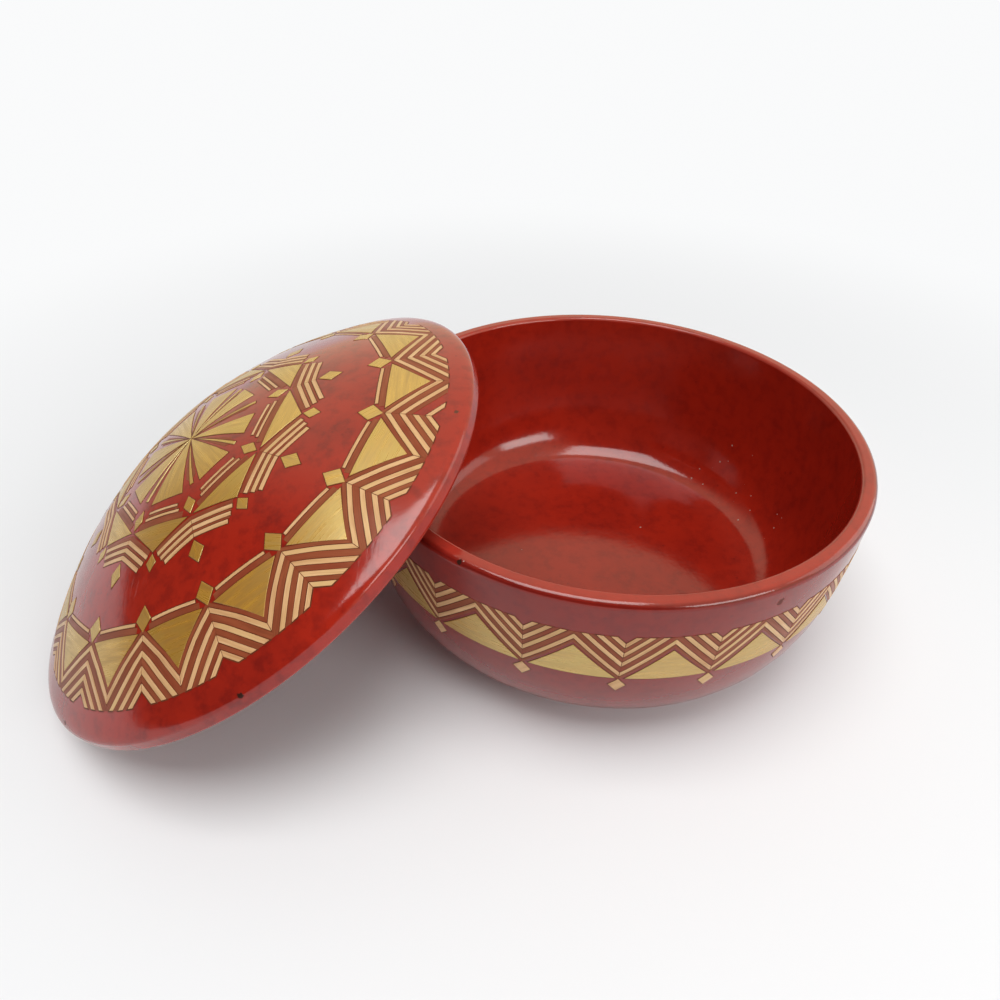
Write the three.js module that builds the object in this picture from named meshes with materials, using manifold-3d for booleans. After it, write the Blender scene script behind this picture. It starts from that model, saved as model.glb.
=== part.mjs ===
// A turned wooden trinket box with a loose domed lid, lacquered red and laid with cut straw.
// The bowl stands on its foot. The lid leans on it: its edge is on the table at the left,
// and its locating ring rests on the bowl's rim.
// Millimetres, +Z up, origin in the middle of the bowl's foot, on the table.

import * as THREE from "three";
import { mergeVertices } from "three/addons/utils/BufferGeometryUtils.js";
import Module from "manifold-3d";

// Bowl
const BOWL_RADIUS = 65;
const BOWL_HEIGHT = 54.5;
const BOWL_RIM_WIDTH = 3.9;
const BOWL_RIM_ROUND = 0.9;
const FOOT_RADIUS = 34.5;
const FOOT_CHAMFER = 0.4;
const FLOOR_THICKNESS = 7.8;
const FLOOR_RADIUS = 44;
// The outer wall drops from the rim almost straight, then turns under to the foot.
const WALL_DROP = 32.3;
const WALL_DRAFT = 1.1;
const HEEL_REACH = 29.1;
const HEEL_RISE = 5.3;
// The inner wall follows it and runs into the floor by a wide hollow.
const HOLLOW_DROP = 30;
const HOLLOW_DRAFT = 1.6;
const HOLLOW_REACH = 14;

// Lid
const LID_RADIUS = 66.4;
const LID_BAND_HEIGHT = 3.7;
const LID_RISE = 21;
const LID_WALL = 5;
const LID_SHOULDER_ROUND = 1.5;
const LID_EDGE_CHAMFER = 0.3;
const RING_DEPTH = 3.85;
const RING_WIDTH = 3;
const RING_CLEARANCE = 1;
const RING_CHAMFER = 0.5;

// How the lid leans: its tilt, and the side of the bowl that it leans on
const LEAN_TILT = THREE.MathUtils.degToRad(32.2);
const LEAN_SIDE = THREE.MathUtils.degToRad(189.4);
const LEAN_GAP = 0.3;
const TABLE_GAP = 0.1;

// Straw: split stalks pressed flat, cut and laid on the lacquer
const STRAW_THICKNESS = 0.35;
const STRAW_BED = 0.3;
const STRAW_SEAM = 0.5;

// Lid centre: a rosette of petals, with a narrow ray between each two
const PETAL_COUNT = 8;
const PETAL_RADIUS = 19.6;
const PETAL_HALF_ANGLE = THREE.MathUtils.degToRad(13.2);
const RAY_WIDTH = 1.5;
const CROWN_RADIUS = 1.2;

// Lid inner band: triangles between eight junctions, and fans of strips with square ends
const INNER_JUNCTION_RADIUS = 27.6;
const INNER_APEX_RADIUS = 33.1;
const INNER_FAN_STRIPS = 3;
const INNER_FAN_ARM = 10.9;

// Lid outer band: triangles between sixteen junctions, and fans of mitred strips that open
// outwards. The strips end on a circle that is set in from the lid's edge, and the triangles
// point towards it.
const OUTER_COUNT = 16;
const OUTER_BAND_MARGIN = 4.4;
const OUTER_APEX_MARGIN = 3;
const OUTER_TRIANGLE_HEIGHT = 8.6;
const OUTER_FAN_STRIPS = 4;
const LID_STRIP_WIDTH = 1.1;
const LID_STRIP_SPACE = 1;
const LID_TURN = THREE.MathUtils.degToRad(4.4);
// It was laid by eye, and its middle is a little off the crown.
const LID_STRAW_CENTRE = new THREE.Vector2(0.85, -0.57);

// Bowl band: triangles that stand on a line, and fans of mitred strips that open upwards
const BOWL_COUNT = 20;
const BOWL_JUNCTION_DROP = 22.9;
const BOWL_APEX_DROP = 12.2;
const BOWL_BAND_DROP = 9.2;
const BOWL_FAN_STRIPS = 4;
const BOWL_STRIP_WIDTH = 1.4;
const BOWL_STRIP_SPACE = 1;
const BOWL_TURN = THREE.MathUtils.degToRad(231.5);

// Facets
const TURNED_STEPS = 54;
const WALL_STEPS = 10;
const HOLLOW_STEPS = 8;
const DOME_STEPS = 9;
const CEILING_STEPS = 8;
const ROUND_STEPS = 2;
const FAN_ARC_STEPS = 2;

// Where strips meet at a mitre they run into each other by this much, and are one piece there.
const MITRE_OVERLAP = 0.05;
// The cutters stand out of the wood by this much.
const CUTTER_REACH = 3;

const RED_LACQUER = { color: 0x9a2a1e, roughness: 0.22, metalness: 0 };
const GOLD_STRAW = { color: 0xc8a04e, roughness: 0.35, metalness: 0 };
const PALE_STRAW = { color: 0xd8aa78, roughness: 0.38, metalness: 0 };

const mouthRadius = BOWL_RADIUS - BOWL_RIM_WIDTH;
const ringOuter = mouthRadius - RING_CLEARANCE;
const ringInner = ringOuter - RING_WIDTH;
const lidHeight = LID_BAND_HEIGHT + LID_RISE;
const outerBandRadius = LID_RADIUS - OUTER_BAND_MARGIN;
const outerApexRadius = outerBandRadius - OUTER_APEX_MARGIN;
const outerJunctionRadius = outerApexRadius - OUTER_TRIANGLE_HEIGHT;

const wasm = await Module();
wasm.setup();

// Solids

function toSolid(geometry) {
  const bare = geometry.clone();
  bare.deleteAttribute("normal");
  bare.deleteAttribute("uv");
  const merged = mergeVertices(bare, 1e-4);
  const index = merged.index.array;
  const corners = [];
  for (let i = 0; i < index.length; i += 3) {
    const [a, b, c] = [index[i], index[i + 1], index[i + 2]];
    if (a !== b && b !== c && c !== a) {
      corners.push(a, b, c);
    }
  }
  const mesh = new wasm.Mesh({
    numProp: 3,
    vertProperties: Float32Array.from(merged.attributes.position.array),
    triVerts: Uint32Array.from(corners),
  });
  return new wasm.Manifold(mesh);
}

function toGeometry(solid) {
  const mesh = solid.getMesh();
  const geometry = new THREE.BufferGeometry();
  geometry.setAttribute("position", new THREE.Float32BufferAttribute(mesh.vertProperties, 3));
  geometry.setIndex(Array.from(mesh.triVerts));
  const flat = geometry.toNonIndexed();
  flat.computeVertexNormals();
  return flat;
}

// A body of revolution about Z from a profile of radius and height, walked anticlockwise
function turned(profile) {
  const geometry = new THREE.LatheGeometry(profile, TURNED_STEPS);
  geometry.rotateX(Math.PI / 2);
  return toSolid(geometry);
}

// A straight prism on a flat outline, from one height to another
function prism(outline, from, to) {
  const geometry = new THREE.ExtrudeGeometry(new THREE.Shape(outline), {
    depth: to - from,
    bevelEnabled: false,
  });
  geometry.translate(0, 0, from);
  return geometry;
}

// Flat geometry

const at = (radius, height) => new THREE.Vector2(radius, height);

const polar = (radius, angle) => at(radius * Math.cos(angle), radius * Math.sin(angle));

// A quarter round from one point to another about a centre, without its first point
function quarterRound(centre, from, to) {
  const start = from.clone().sub(centre);
  const end = to.clone().sub(centre);
  const points = [];
  for (let i = 1; i <= ROUND_STEPS; i += 1) {
    const turn = (i / ROUND_STEPS) * (Math.PI / 2);
    points.push(
      centre.clone().addScaledVector(start, Math.cos(turn)).addScaledVector(end, Math.sin(turn)),
    );
  }
  return points;
}

// Where two lines cross, each given by a point and a direction
function crossing(p, u, q, v) {
  const away = q.clone().sub(p);
  return p.clone().addScaledVector(u, away.cross(v) / u.cross(v));
}

// A convex anticlockwise outline with every side moved in
function inset(outline, distance) {
  const sides = outline.map((point, i) => {
    const along = outline[(i + 1) % outline.length].clone().sub(point).normalize();
    const inward = at(-along.y, along.x);
    return { point: point.clone().addScaledVector(inward, distance), along };
  });
  return sides.map((side, i) => {
    const before = sides[(i + sides.length - 1) % sides.length];
    return crossing(before.point, before.along, side.point, side.along);
  });
}

const mirrored = (point) => at(-point.x, point.y);

const bundleDepth = (strips, width, space) => strips * width + (strips - 1) * space;

// A fan of strips, drawn with its point down and opening upwards. Its lower edges run from
// the point to armEnd and its image. The ends of the strips are cut off by a line that rimAt
// gives as a height over x. The line is flatter than the arms, so its crossing with the upper
// edge is found by moving back and forth between the two.
function cutFanOutline(point, armEnd, depth, rimAt) {
  const arm = armEnd.clone().sub(point).normalize();
  const notch = at(0, point.y + depth / arm.x);
  let x = armEnd.x;
  for (let i = 0; i < 60; i += 1) {
    x = ((rimAt(x) - notch.y) * arm.x) / arm.y;
  }
  const right = [armEnd];
  for (let i = 0; i <= FAN_ARC_STEPS; i += 1) {
    const along = THREE.MathUtils.lerp(armEnd.x, x, i / FAN_ARC_STEPS);
    right.push(at(along, rimAt(along)));
  }
  return [point, ...right, notch, ...right.map(mirrored).reverse()];
}

// The same with the strips cut square, at a length of arm
function squareFanOutline(point, towards, depth, length) {
  const arm = towards.clone().sub(point).normalize();
  const notch = at(0, point.y + depth / arm.x);
  const armEnd = point.clone().addScaledVector(arm, length);
  const upperEnd = armEnd.clone().addScaledVector(at(-arm.y, arm.x), depth);
  return [point, armEnd, upperEnd, notch, mirrored(upperEnd), mirrored(armEnd)];
}

// Turned profiles

const outerWall = new THREE.CubicBezierCurve(
  at(FOOT_RADIUS, 0),
  at(FOOT_RADIUS + HEEL_REACH, HEEL_RISE),
  at(BOWL_RADIUS - WALL_DRAFT, BOWL_HEIGHT - WALL_DROP),
  at(BOWL_RADIUS, BOWL_HEIGHT - BOWL_RIM_ROUND),
);

const innerWall = new THREE.CubicBezierCurve(
  at(mouthRadius, BOWL_HEIGHT - BOWL_RIM_ROUND),
  at(mouthRadius - HOLLOW_DRAFT, BOWL_HEIGHT - HOLLOW_DROP),
  at(FLOOR_RADIUS + HOLLOW_REACH, FLOOR_THICKNESS),
  at(FLOOR_RADIUS, FLOOR_THICKNESS),
);

// The dome is a parabola from the edge to the crown, and so is the ceiling below it.
const dome = new THREE.QuadraticBezierCurve(
  at(LID_RADIUS, LID_BAND_HEIGHT),
  at(LID_RADIUS / 2, lidHeight),
  at(0, lidHeight),
);

const ceilingTop = lidHeight - LID_WALL;

const ceiling = new THREE.QuadraticBezierCurve(
  at(0, ceilingTop),
  at(ringInner / 2, ceilingTop),
  at(ringInner, ceilingTop - LID_RISE * (ringInner / LID_RADIUS) ** 2),
);

// A point of an outer curve, moved off the wood along its normal. Over the crown it stays
// on the axis, where a curve's tangent is only nearly level.
function lifted(curve, t, lift) {
  const along = curve.getTangent(t);
  const point = curve.getPoint(t).addScaledVector(at(along.y, -along.x), lift);
  if (t === 1 && curve.getPoint(1).x === 0) {
    point.x = 0;
  }
  return point;
}

// The layer that the straw fills over an outer curve, as a body of its own
function strawLayer(curve, steps) {
  const top = [];
  const bed = [];
  for (let i = 0; i <= steps; i += 1) {
    top.push(lifted(curve, i / steps, STRAW_BED + STRAW_THICKNESS));
    bed.push(lifted(curve, i / steps, STRAW_BED));
  }
  return turned([...top, ...bed.reverse(), top[0].clone()]);
}

function bowlSolid() {
  const rimTop = BOWL_HEIGHT;
  const rimOuter = BOWL_RADIUS - BOWL_RIM_ROUND;
  const rimInner = mouthRadius + BOWL_RIM_ROUND;
  const outer = outerWall.getPoints(WALL_STEPS);
  outer[0] = at(FOOT_RADIUS, FOOT_CHAMFER);
  return turned([
    at(0, 0),
    at(FOOT_RADIUS - FOOT_CHAMFER, 0),
    ...outer,
    ...quarterRound(at(rimOuter, rimTop - BOWL_RIM_ROUND), outer.at(-1), at(rimOuter, rimTop)),
    at(rimInner, rimTop),
    ...quarterRound(
      at(rimInner, rimTop - BOWL_RIM_ROUND),
      at(rimInner, rimTop),
      at(mouthRadius, rimTop - BOWL_RIM_ROUND),
    ),
    ...innerWall.getPoints(HOLLOW_STEPS).slice(1),
    at(0, FLOOR_THICKNESS),
  ]);
}

function lidSolid() {
  const shoulder = new THREE.QuadraticBezierCurve(
    at(LID_RADIUS, LID_BAND_HEIGHT - LID_SHOULDER_ROUND),
    at(LID_RADIUS, LID_BAND_HEIGHT),
    dome.getPoint(LID_SHOULDER_ROUND / LID_RADIUS),
  );
  return turned([
    ...ceiling.getPoints(CEILING_STEPS),
    at(ringInner, RING_CHAMFER - RING_DEPTH),
    at(ringInner + RING_CHAMFER, -RING_DEPTH),
    at(ringOuter - RING_CHAMFER, -RING_DEPTH),
    at(ringOuter, RING_CHAMFER - RING_DEPTH),
    at(ringOuter, 0),
    at(LID_RADIUS - LID_EDGE_CHAMFER, 0),
    at(LID_RADIUS, LID_EDGE_CHAMFER),
    ...shoulder.getPoints(ROUND_STEPS),
    ...dome.getPoints(DOME_STEPS).slice(1),
  ]);
}

// Straw on the lid: outlines in plan, cut through the dome's straw layer

const domeLayer = strawLayer(dome, DOME_STEPS);

function onLid(outline, angle) {
  const cutter = prism(outline, 0, lidHeight + CUTTER_REACH);
  cutter.rotateZ(angle - Math.PI / 2);
  cutter.translate(LID_STRAW_CENTRE.x, LID_STRAW_CENTRE.y, 0);
  return domeLayer.intersect(toSolid(cutter));
}

// Outlines on the lid are drawn about the middle line of the piece, which points along +Y.
// The rosette is one star-shaped piece: rays and petals by turns, run together at the crown.
function rosetteOutline() {
  const rayHalfAngle = Math.atan(RAY_WIDTH / 2 / PETAL_RADIUS);
  const outline = [];
  for (let i = 0; i < 2 * PETAL_COUNT; i += 1) {
    const middle = Math.PI / 2 + (i * Math.PI) / PETAL_COUNT;
    const half = i % 2 === 0 ? rayHalfAngle : PETAL_HALF_ANGLE;
    outline.push(
      polar(CROWN_RADIUS, middle - half),
      polar(PETAL_RADIUS, middle - half),
      polar(PETAL_RADIUS, middle + half),
      polar(CROWN_RADIUS, middle + half),
    );
  }
  return outline;
}

function lidTriangleOutline(count, junctionRadius, apexRadius) {
  const left = polar(junctionRadius, Math.PI / 2 + Math.PI / count);
  return inset([mirrored(left), at(0, apexRadius), left], STRAW_SEAM);
}

function innerFanOutline() {
  const apex = polar(INNER_APEX_RADIUS, Math.PI / 2 - Math.PI / PETAL_COUNT);
  const depth = bundleDepth(INNER_FAN_STRIPS, LID_STRIP_WIDTH, LID_STRIP_SPACE);
  return squareFanOutline(at(0, INNER_JUNCTION_RADIUS), apex, depth, INNER_FAN_ARM);
}

function outerFanOutline() {
  const reach = Math.PI / OUTER_COUNT + MITRE_OVERLAP / outerApexRadius;
  const armEnd = polar(outerApexRadius, Math.PI / 2 - reach);
  const depth = bundleDepth(OUTER_FAN_STRIPS, LID_STRIP_WIDTH, LID_STRIP_SPACE);
  const rimAt = (x) => Math.sqrt(outerBandRadius ** 2 - x ** 2);
  return cutFanOutline(at(0, outerJunctionRadius), armEnd, depth, rimAt);
}

// Straw on the bowl: outlines on the wall seen straight on, cut through its straw layer.
// An outline's x runs round the wall and its y up from the foot. Its cutter opens out from
// the bowl's axis, so that neighbours meet on a plane through the axis.

const wallLayer = strawLayer(outerWall, WALL_STEPS);

function onBowl(outline, angle) {
  const cutter = prism(outline, FOOT_RADIUS, BOWL_RADIUS + CUTTER_REACH);
  const corners = cutter.attributes.position;
  for (let i = 0; i < corners.count; i += 1) {
    corners.setX(i, (corners.getX(i) * corners.getZ(i)) / BOWL_RADIUS);
  }
  cutter.applyMatrix4(
    new THREE.Matrix4().makeBasis(
      new THREE.Vector3(-Math.sin(angle), Math.cos(angle), 0),
      new THREE.Vector3(0, 0, 1),
      new THREE.Vector3(Math.cos(angle), Math.sin(angle), 0),
    ),
  );
  return wallLayer.intersect(toSolid(cutter));
}

const bowlJunctionHeight = BOWL_HEIGHT - BOWL_JUNCTION_DROP;
const bowlApexHeight = BOWL_HEIGHT - BOWL_APEX_DROP;
const bowlBandHeight = BOWL_HEIGHT - BOWL_BAND_DROP;
const bowlHalfStep = BOWL_RADIUS * Math.tan(Math.PI / BOWL_COUNT);

function bowlTriangleOutline() {
  const right = at(bowlHalfStep, bowlJunctionHeight);
  return inset([right, at(0, bowlApexHeight), mirrored(right)], STRAW_SEAM);
}

function bowlFanOutline() {
  const armEnd = at(bowlHalfStep + MITRE_OVERLAP, bowlApexHeight);
  const depth = bundleDepth(BOWL_FAN_STRIPS, BOWL_STRIP_WIDTH, BOWL_STRIP_SPACE);
  return cutFanOutline(at(0, bowlJunctionHeight), armEnd, depth, () => bowlBandHeight);
}

// Copies round the axis, as separate pieces or joined at their mitres

function around(count, turn, make) {
  const pieces = [];
  for (let i = 0; i < count; i += 1) {
    pieces.push(make(turn + (i * 2 * Math.PI) / count));
  }
  return pieces;
}

function joined(pieces) {
  return pieces.reduce((whole, piece) => whole.add(piece));
}

// Assembly

function mesh(name, solid, look) {
  const piece = new THREE.Mesh(toGeometry(solid), new THREE.MeshStandardMaterial(look));
  piece.name = name;
  return piece;
}

function numbered(name, solids, look) {
  return solids.map((solid, i) => mesh(`${name}_${i + 1}`, solid, look));
}

const bowlHalfTurn = Math.PI / BOWL_COUNT;
const bowl = new THREE.Group();
bowl.add(
  mesh("bowl", bowlSolid(), RED_LACQUER),
  ...numbered(
    "bowl_triangle",
    around(BOWL_COUNT, BOWL_TURN + bowlHalfTurn, (angle) => onBowl(bowlTriangleOutline(), angle)),
    GOLD_STRAW,
  ),
  mesh(
    "bowl_fans",
    joined(around(BOWL_COUNT, BOWL_TURN, (angle) => onBowl(bowlFanOutline(), angle))),
    PALE_STRAW,
  ),
);

const petalTurn = LID_TURN + Math.PI / PETAL_COUNT;
const outerTurn = LID_TURN + Math.PI / OUTER_COUNT;
const innerTriangle = lidTriangleOutline(PETAL_COUNT, INNER_JUNCTION_RADIUS, INNER_APEX_RADIUS);
const innerFan = innerFanOutline();
const outerTriangle = lidTriangleOutline(OUTER_COUNT, outerJunctionRadius, outerApexRadius);
const outerFan = outerFanOutline();
const lid = new THREE.Group();
lid.add(
  mesh("lid", lidSolid(), RED_LACQUER),
  mesh("lid_rosette", onLid(rosetteOutline(), LID_TURN), GOLD_STRAW),
  ...numbered(
    "lid_inner_triangle",
    around(PETAL_COUNT, petalTurn, (angle) => onLid(innerTriangle, angle)),
    GOLD_STRAW,
  ),
  ...numbered(
    "lid_inner_fan",
    around(PETAL_COUNT, LID_TURN, (angle) => onLid(innerFan, angle)),
    PALE_STRAW,
  ),
  ...numbered(
    "lid_outer_triangle",
    around(OUTER_COUNT, outerTurn, (angle) => onLid(outerTriangle, angle)),
    GOLD_STRAW,
  ),
  mesh(
    "lid_outer_fans",
    joined(around(OUTER_COUNT, LID_TURN, (angle) => onLid(outerFan, angle))),
    PALE_STRAW,
  ),
);

// How far the leaning lid's centre stands from the bowl's axis, so that the lower face of its
// locating ring just clears the bowl's rim at the two places where it crosses it.
function leanDistance(centreHeight) {
  const ringHeight = centreHeight - RING_DEPTH * Math.cos(LEAN_TILT);
  const upSlope = (BOWL_HEIGHT + LEAN_GAP - ringHeight) / Math.sin(LEAN_TILT);
  const reaches = [ringOuter, ringInner].map((radius) => {
    const sideways = Math.sqrt(radius ** 2 - upSlope ** 2);
    return upSlope * Math.cos(LEAN_TILT) + Math.sqrt(BOWL_RADIUS ** 2 - sideways ** 2);
  });
  return Math.max(...reaches) + RING_DEPTH * Math.sin(LEAN_TILT);
}

// The height of the lid's edge plane at its middle, with its lowest edge on the table
const edgeDrop = Math.max(
  LID_RADIUS * Math.sin(LEAN_TILT) - LID_EDGE_CHAMFER * Math.cos(LEAN_TILT),
  (LID_RADIUS - LID_EDGE_CHAMFER) * Math.sin(LEAN_TILT),
  (ringOuter - RING_CHAMFER) * Math.sin(LEAN_TILT) + RING_DEPTH * Math.cos(LEAN_TILT),
  ringOuter * Math.sin(LEAN_TILT) + (RING_DEPTH - RING_CHAMFER) * Math.cos(LEAN_TILT),
);
const lidCentreHeight = edgeDrop + TABLE_GAP;

// The lid's X runs up the slope towards the bowl, and its Z is its own axis.
lid.rotation.set(0, -LEAN_TILT, 0);
const lean = new THREE.Group();
lean.add(lid);
lean.rotation.z = LEAN_SIDE - Math.PI;
lean.position.set(
  leanDistance(lidCentreHeight) * Math.cos(LEAN_SIDE),
  leanDistance(lidCentreHeight) * Math.sin(LEAN_SIDE),
  lidCentreHeight,
);

const box = new THREE.Group();
box.add(bowl, lean);

export default box;
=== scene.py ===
# %% [markdown]
# # A turned trinket box, lacquered red and laid with straw
#
# The box is two pieces of turned wood: a bowl, and a domed lid with a locating ring under it.
# Both wear a deep, glossy red lacquer. The ornament is straw: stalks split open, pressed flat,
# cut into triangles, squares and narrow bars, and laid on the lacquer like marquetry.
# In the picture the lid is off and leans on the bowl's rim.
#
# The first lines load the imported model. Its nodes are the frame that everything here is fitted
# to, and they stay where they are.

import math

import bpy
import numpy as np
from mathutils import Matrix, Vector


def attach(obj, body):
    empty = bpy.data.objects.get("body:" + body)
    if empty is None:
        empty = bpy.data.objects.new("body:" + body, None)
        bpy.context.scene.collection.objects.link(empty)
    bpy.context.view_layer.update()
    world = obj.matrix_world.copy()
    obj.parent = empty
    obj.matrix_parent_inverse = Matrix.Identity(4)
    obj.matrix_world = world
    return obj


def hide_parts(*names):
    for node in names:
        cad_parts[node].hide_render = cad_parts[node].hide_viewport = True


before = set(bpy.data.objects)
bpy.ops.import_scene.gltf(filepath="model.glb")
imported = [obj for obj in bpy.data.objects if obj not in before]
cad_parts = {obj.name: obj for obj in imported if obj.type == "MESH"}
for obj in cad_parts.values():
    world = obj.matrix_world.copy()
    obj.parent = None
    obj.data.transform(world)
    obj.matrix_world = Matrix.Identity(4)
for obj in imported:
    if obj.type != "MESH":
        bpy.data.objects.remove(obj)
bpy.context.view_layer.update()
MM = 0.001
print("nodes:", len(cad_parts))

# %% [markdown]
# ## Small habits of the hand
#
# Every tool in Blender works on what is selected. So the first helper clears the selection and
# picks what is wanted, two more step in and out of edit mode with everything picked, and the last
# joins several objects into one.

# %% Picking objects
def pick(*objects):
    bpy.ops.object.select_all(action="DESELECT")
    for each in objects:
        each.select_set(True)
    bpy.context.view_layer.objects.active = objects[0]


def edit_all():
    bpy.ops.object.mode_set(mode="EDIT")
    bpy.ops.mesh.select_all(action="SELECT")


def leave_edit():
    bpy.ops.object.mode_set(mode="OBJECT")


def join(name, objects):
    pick(*objects)
    if len(objects) > 1:
        bpy.ops.object.join()
    whole = bpy.context.object
    whole.name = name
    return whole


# %% [markdown]
# ## The turned shapes
#
# A turner cuts one profile while the wood goes round. The same is done here: the profile is a
# Bezier curve through a few knots, it is turned into a mesh line, and spin carries it round the
# axis. The seam and the poles close when doubles are merged. A knot is its place, and the handles
# before and after it, as (radius, height) in mm.

# %% Spinning a profile
TURNS = 256
FINENESS = 14
SEAM = 0.004


def in_metres(x, y, z):
    return (x * MM, y * MM, z * MM)


def turned(name, knots):
    bpy.ops.object.select_all(action="DESELECT")
    bpy.ops.curve.primitive_bezier_curve_add()
    curve = bpy.context.object
    points = curve.data.splines[0].bezier_points
    points.add(len(knots) - len(points))
    for point, (place, before, after) in zip(points, knots):
        point.handle_left_type = "FREE"
        point.handle_right_type = "FREE"
        point.co = in_metres(place[0], 0, place[1])
        point.handle_left = in_metres(before[0], 0, before[1])
        point.handle_right = in_metres(after[0], 0, after[1])
    curve.data.resolution_u = FINENESS
    bpy.ops.object.convert(target="MESH")
    piece = bpy.context.object
    piece.name = name
    edit_all()
    bpy.ops.mesh.spin(steps=TURNS, angle=2 * math.pi, center=(0, 0, 0), axis=(0, 0, 1))
    bpy.ops.mesh.select_all(action="SELECT")
    bpy.ops.mesh.remove_doubles(threshold=SEAM * MM)
    bpy.ops.mesh.normals_make_consistent(inside=False)
    leave_edit()
    bpy.ops.object.shade_smooth()
    print(name, "faces", len(piece.data.polygons))
    return piece


def corner(place):
    return (place, place, place)


# %% [markdown]
# ## The bowl
#
# The wall turns under to a narrow foot, rises almost straight, and ends in a flat rim with
# softened edges. Inside, the wall runs into the floor by a wide hollow, which catches a curved
# highlight in the lacquer.

# %% Turn the bowl
bowl = turned(
    "bowl_lacquered",
    [
        corner((0, 0)),
        ((34.1, 0), (30, 0), (34.3, 0)),
        ((34.5, 0.1), (34.4, 0.02), (63.6, 5.3)),
        ((65, 52.7), (63.9, 22.2), (65.03, 53.7)),
        ((63.3, 54.5), (64.3, 54.5), (63.0, 54.5)),
        ((62.1, 54.5), (62.4, 54.5), (61.5, 54.5)),
        ((61.1, 53.5), (61.1, 54), (59.3, 27)),
        ((44, 7.8), (58, 7.8), (30, 7.8)),
        corner((0, 7.8)),
    ],
)

# %% [markdown]
# ## The lid
#
# The lid is turned upright at the origin, because its straw is easiest to lay there, and it is
# leaned at the very end. Its dome is a shallow parabola, which one Bezier span gives exactly:
# the handles stand at a third and two thirds of the way out.

# %% Turn the lid
LID_RADIUS = 66.4
LID_BAND = 3.7
LID_RISE = 21


def dome_height(radius):
    return LID_BAND + LID_RISE * (1 - (radius / LID_RADIUS) ** 2)


def dome_slope(radius):
    return -2 * LID_RISE * radius / LID_RADIUS**2


EDGE = 60.8
EDGE_HANDLE = 2.4
WOOD_THICKNESS = 5
RING_INSIDE = 57.1
edge_height = dome_height(EDGE)
crown = dome_height(0)
ceiling = crown - WOOD_THICKNESS
ceiling_edge = dome_height(RING_INSIDE) - WOOD_THICKNESS
lid = turned(
    "lid_lacquered",
    [
        ((0, crown), (0, crown), (EDGE / 3, crown)),
        (
            (EDGE, edge_height),
            (2 * EDGE / 3, crown + (edge_height - crown) / 3),
            (EDGE + EDGE_HANDLE, edge_height + EDGE_HANDLE * dome_slope(EDGE)),
        ),
        ((66.4, 2.8), (66.35, 4.3), (66.4, 2.2)),
        ((66.4, 0.9), (66.4, 1.4), (66.4, 0.35)),
        ((65.5, 0), (66.0, 0), (64, 0)),
        ((60.4, 0), (61, 0), (60.15, 0)),
        ((60.1, -0.3), (60.1, -0.1), (60.1, -1.5)),
        ((60.1, -3.4), (60.1, -2.5), (60.1, -3.7)),
        ((59.6, -3.85), (59.9, -3.85), (59, -3.85)),
        ((57.6, -3.85), (58, -3.85), (57.3, -3.85)),
        ((RING_INSIDE, -3.4), (RING_INSIDE, -3.7), (RING_INSIDE, -2)),
        (
            (RING_INSIDE, ceiling_edge),
            (RING_INSIDE, 3),
            (2 * RING_INSIDE / 3, ceiling + (ceiling_edge - ceiling) / 3),
        ),
        ((0, ceiling), (RING_INSIDE / 3, ceiling), (0, ceiling)),
    ],
)

# %% [markdown]
# ## Cutting straw
#
# A pressed stalk is a flat ribbon with its grain along it. Each piece starts as such a ribbon: a
# fine grid, laid over its place and turned so that its grain runs the right way. It is then cut
# along its outline with bisect, as with a knife and a straight edge. The grid keeps its texture
# map, so the material can run its fibres along the piece. Positions are in mm, on the plan.

# %% The knife
RIBBON = 26
RIBBON_CELLS = 13


def at(radius, degrees):
    turn = math.radians(degrees)
    return (radius * math.cos(turn), radius * math.sin(turn))


def line(place, facing):
    """A cut through place; what lies on the side that it faces, in degrees, falls away."""
    return (place, math.radians(facing))


def outline(*corners):
    """The cuts round a piece, from its corners in anticlockwise order."""
    cuts = []
    for (x0, y0), (x1, y1) in zip(corners, corners[1:] + corners[:1]):
        cuts.append(((x0, y0), math.atan2(x0 - x1, y1 - y0)))
    return cuts


def diamond(radius, degrees, radial, across):
    x, y = at(radius, degrees)
    rx, ry = at(radial, degrees)
    tx, ty = at(across, degrees + 90)
    return outline((x - rx, y - ry), (x - tx, y - ty), (x + rx, y + ry), (x + tx, y + ty))


def crossbar(near, far, half_length, degrees):
    """The cuts of a straight bar that lies across a direction, between two distances."""
    foot = at(near, degrees)
    left = at(half_length, degrees + 90)
    return [
        line(foot, degrees + 180),
        line(at(far, degrees), degrees),
        line((foot[0] + left[0], foot[1] + left[1]), degrees + 90),
        line((foot[0] - left[0], foot[1] - left[1]), degrees - 90),
    ]


def mirrored(cuts):
    return [((x, -y), -facing) for (x, y), facing in cuts]


def cut_straw(centre, grain, cuts, spare):
    """A ribbon laid over its place and cut, with something to spare outside each cut."""
    bpy.ops.object.select_all(action="DESELECT")
    bpy.ops.mesh.primitive_grid_add(
        x_subdivisions=RIBBON_CELLS,
        y_subdivisions=RIBBON_CELLS,
        size=RIBBON * MM,
        location=in_metres(centre[0], centre[1], 0),
        rotation=(0, 0, math.radians(grain)),
    )
    piece = bpy.context.object
    edit_all()
    for (x, y), facing in cuts:
        nx, ny = math.cos(facing), math.sin(facing)
        bpy.ops.mesh.select_all(action="SELECT")
        bpy.ops.mesh.bisect(
            plane_co=in_metres(x + nx * spare, y + ny * spare, 0),
            plane_no=(nx, ny, 0),
            clear_outer=True,
        )
    leave_edit()
    bpy.ops.object.transform_apply(location=True, rotation=True, scale=True)
    return piece


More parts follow.
